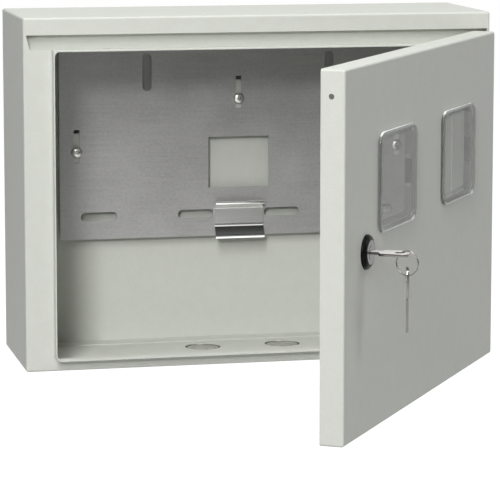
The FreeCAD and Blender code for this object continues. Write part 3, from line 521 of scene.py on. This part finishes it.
def soft_square(half_width, half_height, corner, depth, steps=7):
    """A ring of points in a plane y = depth: an upright rectangle with rounded corners."""
    ring = []
    corners = ((1, 1, 0), (-1, 1, 1), (-1, -1, 2), (1, -1, 3))
    for side, end, quarter in corners:
        middle = Vector((side * (half_width - corner), depth, end * (half_height - corner)))
        for step in range(steps + 1):
            turn = math.pi / 2 * (quarter + step / steps)
            ring.append(middle + corner * Vector((math.cos(turn), 0, math.sin(turn))))
    return ring


seal_half_width = 0.1845
seal_half_height = 0.1355
seal_corner = 0.006
seal_middle = Vector((-joints["door_swing"]["pos_m"][0], 0, -0.009))
# Distance out from the strip's middle line and depth behind the hinge's axis, in millimetres.
seal_outline = [(-5, -3.5), (-5, 3.4), (-4.2, 4.9), (-2.4, 5.6), (2.4, 5.6), (4.2, 4.9), (5, 3.4), (5, -3.5)]
seal_rings = []
for out, depth in seal_outline:
    reach = out / 1000
    half_width, half_height = seal_half_width + reach, seal_half_height + reach
    seal_rings.append(soft_square(half_width, half_height, seal_corner + reach, depth / 1000))
seal = lofted("foam_seal", seal_rings, capped=False)
fit(seal, door_place @ Matrix.Translation(seal_middle), "door", foam, "foam", "door_seal")

# Windows: two clear plastic mouldings, each a bevelled cap in front of the door with a collar through it.
# A snap arm in the middle of each upright side, freed by a slot in the collar, catches behind the sheet.
# The bevel is clear plastic tinted grey, which darkens its outlines as painted shade, and the pane is faintly
# hazed. The rim and snap arms are painted dark as painted shade, and the rim's upward faces are painted near
# white as a painted highlight.


def hazed_finish(name):
    """An empty material for clear plastic, with its place and its faint clouds of haze."""
    finish, place = new_finish(name)
    return finish, place, place.noise(scale=60.0, detail=3.0)


clear_pane, place, haze = hazed_finish("clear_pane")
surface(
    place,
    Base_Color=haze.mix(card(128, 130, 126), card(144, 146, 142)),
    Roughness=0.04 + 0.06 * haze,
    Alpha=0.3 + 0.03 * haze,
)
# Painted shade and highlight: rim and snap arms are dark grey, and faces turned up are painted near white.
rim_painted_shade_and_highlight, place, haze = hazed_finish("rim_painted_shade_and_highlight")
facing = place.node("NewGeometry", output="Normal")
painted_top_highlight = place.node("SeparateXYZ", {}, {"Vector": facing}, "Z").between(0.55, 0.9)
surface(
    place,
    Base_Color=painted_top_highlight.mix(haze.mix(card(58, 60, 58), card(84, 86, 84)), card(244, 245, 243)),
    Roughness=0.06 + 0.06 * haze,
    Alpha=0.5 + 0.1 * haze + 0.35 * painted_top_highlight,
)
# The bevel's grey tint darkens what shows through it: painted shade for its dark outlines.
clear_edge, place, haze = hazed_finish("clear_edge")
surface(
    place,
    Base_Color=(0.5, 0.51, 0.5, 1.0),
    Roughness=0.02 + 0.05 * haze,
    IOR=1.5,
    Transmission_Weight=1.0,
)
window_height = 0.042
square_on = 0.99
pane_index, rim_index = 1, 2
# Sizes of the moulding in millimetres. A ring of the cap has half width, half height, corner and depth, and
# the rings go from the inside of the pane round the collar to the front.
cap_half_width, cap_half_height, cap_corner = 48, 40, 11
cap_sections = [(41.1, 33.1, 4.2, -5.9), (41.1, 33.1, 4.2, 1.5), (42.7, 34.7, 5.7, 1.5)]
cap_sections += [(42.7, 34.7, 5.7, -4.5), (47.5, 39.5, 10.5, -4.5)]
cap_sections += [(cap_half_width, cap_half_height, cap_corner, depth) for depth in (-5.0, -6.1)]
cap_sections += [(47.8, 39.8, 10.8, -6.9), (47.2, 39.2, 10.2, -7.55), (46.2, 38.2, 9.2, -7.85)]
cap_sections += [(44, 36, 7, -7.9)]
rim_depth = 0.6
rim_front = -6.5
slot_outline = [(40.6, -3.4), (43.2, -3.4), (43.2, 2.0), (40.6, 2.0)]
slot_half = 13.5
arm_outline = [(41.3, -4.4), (42.6, -4.4), (42.6, -3.3), (43.6, -3.2), (43.4, -2.6), (42.0, 1.3), (41.3, 1.3)]
arm_half = 10.0


def upright_bar(name, outline, half, side):
    """A bar of even section, standing on one side of a window."""
    ends = [[Vector((side * x, y, end * half)) / 1000 for x, y in outline] for end in (-1, 1)]
    return lofted(name, ends)


def window_cap(name, centre, solid):
    """One moulding, lofted from the inside of its pane round the collar and rim to the front."""
    rings = []
    for half_width, half_height, corner, depth in cap_sections:
        rings.append(soft_square(half_width / 1000, half_height / 1000, corner / 1000, depth / 1000))
    shell = lofted("shell", rings)
    shape = bmesh.new()
    for side in (-1, 1):
        cut_out(shell, upright_bar("cutter", slot_outline, slot_half, side))
        arm = upright_bar("arm", arm_outline, arm_half, side)
        arm.data.polygons.foreach_set("material_index", [rim_index] * len(arm.data.polygons))
        shape.from_mesh(arm.data)
        bpy.data.objects.remove(arm)
    shape.from_mesh(shell.data)
    bpy.data.objects.remove(shell)
    cap = smoothed(name, shape, edge=30)
    for face in cap.data.polygons:
        across = abs(face.center.x) - (cap_half_width - cap_corner) / 1000
        upward = abs(face.center.z) - (cap_half_height - cap_corner) / 1000
        out = math.hypot(across, upward) if min(across, upward) > 0 else max(across, upward)
        if face.material_index == 0 and face.center.y > rim_front / 1000:
            face.material_index = rim_index if out > (cap_corner - rim_depth) / 1000 else pane_index
        elif abs(face.normal.y) > square_on:
            face.material_index = pane_index
    where = door_place @ Matrix.Translation((centre, 0, window_height))
    fit(cap, where, "door", clear_edge, "clear", solid)
    cap.data.materials.append(clear_pane)
    cap.data.materials.append(rim_painted_shade_and_highlight)


window_cap("left_window", centre=-0.2831, solid="window_left")
window_cap("right_window", centre=-0.1115, solid="window_right")

# Lock: a cam lock with a black moulded rosette. The die-cast housing is held by a nut behind the door,
# and the plug carries a stamped steel tongue on its square end. Housing and plug are nickel plated, with
# fine scratches from the key, and nut, tongue and screw are zinc plated.
black_plastic, place = new_finish("black_plastic")
skin = place.noise(scale=900.0)
surface(
    place,
    Base_Color=skin.mix(card(8, 8, 8), card(16, 16, 16)),
    Roughness=0.16 + 0.1 * skin,
    Specular_IOR_Level=0.05,
    Normal=relief(place, skin, depth=0.00001),
)


def scratched_nickel(name, grain, dark, light, smoothest):
    """Nickel plate, clouded by handling, with scratches packed as the grain says."""
    finish, place = new_finish(name)
    scratch = place.stretched(*grain).noise(scale=1.0, detail=3.0)
    tarnish = place.noise(scale=130.0, detail=3.0)
    surface(
        place,
        Base_Color=(tarnish * 0.6 + scratch * 0.4).mix(dark, light),
        Metallic=1.0,
        Roughness=smoothest + 0.12 * scratch,
        Normal=relief(place, scratch, depth=0.000008),
    )
    return finish


round_grain = (700.0, 700.0, 2600.0)
# Darkened far below bright nickel: painted shade for the dim surround that the lock's face reflects.
lock_painted_dim_nickel = scratched_nickel(
    "lock_painted_dim_nickel", round_grain, card(90, 90, 87), card(117, 116, 113), smoothest=0.2
)
lock_place = Matrix.Translation(joints["lock_turn"]["pos_m"]) @ door_turn
# Radius, and height along the lock's axis, in millimetres.
rosette_outline = [(8.1, 4.5), (13.8, 4.5), (13.8, 5.5), (13.6, 6.2), (13.0, 7.0), (12.2, 7.8), (11.4, 8.25)]
rosette_outline += [(10.8, 8.4), (10.2, 8.3), (10.0, 8.1), (10.0, 6.8), (8.1, 6.8)]
rosette_rings = [circle(radius / 1000, height / 1000, steps=64) for radius, height in rosette_outline]
rosette = lofted("lock_collar", rosette_rings, capped=False)
fit(rosette, lock_place @ forward, "door", black_plastic, "black", "lock_rosette")
coat(lock_painted_dim_nickel, "lock_housing", "lock_plug")
coat(bright_zinc, "lock_nut", "lock_cam", "cam_screw")

# Key: a flat nickel-plated brass key stamped from strip, with a hole in the bow and cuts on one edge. Its
# flat faces are painted much lighter than its edges as a painted highlight, and its edges stay as stamped.
# It stands in the lock's plug.
long_grain = (300.0, 2600.0, 700.0)
# Darkened well below bright nickel: painted shade for the dim surround that key edges, ring and spare key
# reflect.
nickel = scratched_nickel(
    "painted_dim_nickel_plate", long_grain, card(104, 102, 99), card(140, 138, 134), smoothest=0.1
)
# Much lighter than the nickel of the edges: a painted highlight on the keys' flat faces.
key_face_painted_highlight, place = new_finish("key_face_painted_highlight")
scratch = place.stretched(*long_grain).noise(scale=1.0, detail=3.0)
surface(
    place,
    Base_Color=scratch.mix(card(226, 222, 220), card(248, 245, 243)),
    Metallic=0.35,
    Roughness=0.25 + 0.15 * scratch,
    Normal=relief(place, scratch, depth=0.000008),
)
bow_half = 0.01025
bow_length = 0.0241
bow_corner = 0.005
bow_steps = 8
blade_half = 0.004
key_length = 0.0511
tip_bevel = 0.003
cut_pitch = 0.0034
cut_depth = 0.0012
cut_half_floor = 0.0002
cut_half_mouth = 0.001
hole_radius = 0.0037
hole_place = 0.0087
thickness = 0.0022
burr = 0.00025
flat_face = 0.9
plug_face = 0.0089
key_out = 0.0316


def bow_round(side, end, quarter):
    """One rounded corner of a key's bow, at its free end or next to the blade."""
    middle = Vector((side * (bow_half - bow_corner), end * bow_length + (1 - 2 * end) * bow_corner, 0))
    turns = [math.pi / 2 * (quarter + step / bow_steps) for step in range(bow_steps + 1)]
    return [middle + bow_corner * Vector((math.cos(turn), math.sin(turn), 0)) for turn in turns]


def key_piece(name):
    """A key in the plane z = 0, its bow's end at y = 0 and its tip at plus y."""
    edge = [(blade_half, bow_length)]
    for cut in (2.5, 1.5, 0.5):
        deepest = key_length - tip_bevel - cut_pitch * cut
        edge += [(blade_half, deepest - cut_half_mouth), (blade_half - cut_depth, deepest - cut_half_floor)]
        edge += [(blade_half - cut_depth, deepest + cut_half_floor), (blade_half, deepest + cut_half_mouth)]
    edge += [(blade_half, key_length - tip_bevel), (blade_half - tip_bevel, key_length)]
    edge += [(tip_bevel - blade_half, key_length), (-blade_half, key_length - tip_bevel)]
    edge += [(-blade_half, bow_length)]
    outline = bow_round(-1, 0, 2) + bow_round(1, 0, 3) + bow_round(1, 1, 0)
    outline += [Vector((across, far, 0)) for across, far in edge] + bow_round(-1, 1, 1)
    hole = [point + Vector((0, hole_place, 0)) for point in circle(hole_radius, 0, steps=32)]
    drawing = bpy.data.curves.new(name, "CURVE")
    drawing.dimensions = "2D"
    drawing.fill_mode = "BOTH"
    drawing.extrude = thickness / 2 - burr
    drawing.bevel_depth = burr
    drawing.bevel_resolution = 2
    drawing.offset = -burr
    for points in (outline, hole):
        spline = drawing.splines.new("POLY")
        spline.points.add(len(points) - 1)
        for spot, point in zip(spline.points, points):
            spot.co = (point.x, point.y, 0, 1)
        spline.use_cyclic_u = True
    stamped = bpy.data.objects.new(name, drawing)
    bpy.context.scene.collection.objects.link(stamped)
    shape = bmesh.new()
    shape.from_mesh(stamped.to_mesh())
    bpy.data.objects.remove(stamped)
    bmesh.ops.remove_doubles(shape, verts=shape.verts, dist=0.000005)
    key = smoothed(name, shape, edge=30)
    for face in key.data.polygons:
        face.material_index = int(abs(face.normal.z) > flat_face)
    return key


key_place = lock_place @ Matrix.Translation((0, -plug_face - key_out, 0))
in_lock = key_piece("key_in_lock")
fit(in_lock, key_place, "key", nickel, "nickel", "lock_key")
in_lock.data.materials.append(key_face_painted_highlight)

# Split ring: two turns of spring-steel wire lying side by side, nickel plated. It is threaded through the
# key's bow, and its two ends lie at one place on the ring.
ring_low, ring_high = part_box("key_ring")
ring_axis = Vector(joints["ring_swing"]["axis"])
ring_level = Vector((-ring_axis.y, ring_axis.x, 0))
ring_radius = 0.0095
wire_radius = 0.0004
wire_turns = 2
wire_steps = 72
wire_sides = 10
crossing_start, crossing_length = 0.9, 0.2
ring_turn = Matrix((ring_level, upright, ring_axis)).transposed().to_4x4()
ring_place = Matrix.Translation((ring_low + ring_high) / 2) @ ring_turn
wire_angles = [2 * math.pi * side / wire_sides for side in range(wire_sides)]
wire_rings = []
for step in range(wire_turns * wire_steps + 1):
    turn = 2 * math.pi * step / wire_steps
    out = Vector((math.cos(turn), math.sin(turn), 0))
    crossed = max(0, min(1, (step / wire_steps - crossing_start) / crossing_length))
    centre = ring_radius * out + Vector((0, 0, wire_radius * (2 * crossed - 1)))
    round_wire = [math.cos(angle) * out + math.sin(angle) * upright for angle in wire_angles]
    wire_rings.append([centre + wire_radius * away for away in round_wire])
split_ring = lofted("split_ring", wire_rings)
fit(split_ring, ring_place, "ring", nickel, "nickel", "key_ring")

# Spare key: a second key of the same strip with the same cuts. It hangs from the ring by the hole in its
# bow, turned on edge to the front.
spare_low, spare_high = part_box("spare_key")
spare_middle = (spare_low + spare_high) / 2
spare_turn = math.atan2(ring_axis.y, ring_axis.x) + math.radians(30)
spare_place = Matrix.Translation((spare_middle.x, spare_middle.y, spare_high.z))
spare_place = spare_place @ Matrix.Rotation(spare_turn, 4, "Z") @ backward
hanging = key_piece("key_on_ring")
fit(hanging, spare_place, "spare", nickel, "nickel", "spare_key")
hanging.data.materials.append(key_face_painted_highlight)

# Studio: a pale floor well below the hung box, in a surround that is white above and behind and dimmer in
# front. Four soft boxes light it: a small one low at the front left, a tall one above it, one overhead
# and one far to the right.
floor_level = -0.55
black, white = (0, 0, 0, 1), (1, 1, 1, 1)
floor_shape = bmesh.new()
bmesh.ops.create_grid(floor_shape, x_segments=8, y_segments=8, size=6.0)
floor = smoothed("studio_floor", floor_shape)
floor.location = (0, 0, floor_level)
pale, place = new_finish("pale_floor")
seen = place.node("LightPath", output="Is Camera Ray") + place.node("LightPath", output="Is Glossy Ray")
seen = seen + place.node("LightPath", output="Is Transmission Ray")
surface(
    place,
    Base_Color=(0.5, 0.5, 0.5, 1.0),
    Roughness=0.9,
    Emission_Color=seen.between(0.0, 1.0).mix(black, white),
    Emission_Strength=0.88,
)
floor.data.materials.append(pale)

fill_light = 0.11
front_dimming = 0.6
surround = bpy.data.worlds.new("surround")
surround.use_nodes = True
surround.node_tree.nodes.clear()
air = Wire(surround.node_tree)
heading = air.node("TexCoord", output="Generated")
overhead = air.node("SeparateXYZ", {}, {"Vector": heading}, "Z").between(0.2, 0.8)
behind = air.node("SeparateXYZ", {}, {"Vector": heading}, "Y").between(0.0, 0.4)
in_front = 1 - air.math("MAXIMUM", overhead, behind)
mirrored = air.node("LightPath", output="Is Glossy Ray") * (1 - front_dimming * in_front)
seen = air.node("LightPath", output="Is Camera Ray") + air.node("LightPath", output="Is Transmission Ray")
strength = fill_light + (1 - fill_light) * air.math("MAXIMUM", seen.between(0.0, 1.0), mirrored)
glow = air.node("Background", {}, {"Color": white, "Strength": strength})
air.node("OutputWorld", {}, {"Surface": glow})
bpy.context.scene.world = surround

lamp_aim = Vector((0, -0.15, 0))
lamp_distance = 3.2


def soft_lamp(name, turn, rise, width, height, power):
    """A soft box aimed at the box, turned to the right of the front and raised by degrees."""
    lamp = bpy.data.lights.new(name, "AREA")
    lamp.shape = "RECTANGLE"
    lamp.size = width
    lamp.size_y = height
    lamp.energy = power
    stand = bpy.data.objects.new(name, lamp)
    bpy.context.scene.collection.objects.link(stand)
    level = math.cos(math.radians(rise))
    out = Vector((math.sin(math.radians(turn)) * level, -math.cos(math.radians(turn)) * level, 0))
    out.z = math.sin(math.radians(rise))
    stand.location = lamp_aim + lamp_distance * out
    stand.rotation_euler = out.to_track_quat("Z", "Y").to_euler()


soft_lamp("front_lamp", turn=-23, rise=20, width=0.5, height=0.4, power=30.0)
soft_lamp("main_lamp", turn=-23, rise=42, width=0.6, height=1.9, power=58.0)
soft_lamp("top_lamp", turn=-8, rise=78, width=1.1, height=1.1, power=42.0)
soft_lamp("right_lamp", turn=75, rise=30, width=1.1, height=1.1, power=17.5)

# Camera: a long lens in front of the box, to the left and a little above, as it was photographed. Its
# shift moves the box up and to the right in the picture, to where the photograph has it.
yaw, pitch, roll = math.radians(13.251), math.radians(-7.860), math.radians(0.105)
sight = Vector((math.sin(yaw) * math.cos(pitch), math.cos(yaw) * math.cos(pitch), math.sin(pitch)))
level_right = Vector((math.cos(yaw), -math.sin(yaw), 0))
level_up = level_right.cross(sight)
camera_right = math.cos(roll) * level_right + math.sin(roll) * level_up
camera_up = math.cos(roll) * level_up - math.sin(roll) * level_right
camera_place = Matrix.Translation((-0.5470, -2.5233, 0.3222))
camera = bpy.data.cameras.new("camera")
camera.sensor_width = 36
camera.lens = 201.69
camera.shift_x = -0.0579
camera.shift_y = -0.0822
camera.clip_end = 50
camera_stand = bpy.data.objects.new("camera", camera)
bpy.context.scene.collection.objects.link(camera_stand)
camera_stand.matrix_world = camera_place @ Matrix((camera_right, camera_up, -sight)).transposed().to_4x4()
bpy.context.scene.camera = camera_stand
bpy.context.scene.view_settings.view_transform = "Standard"
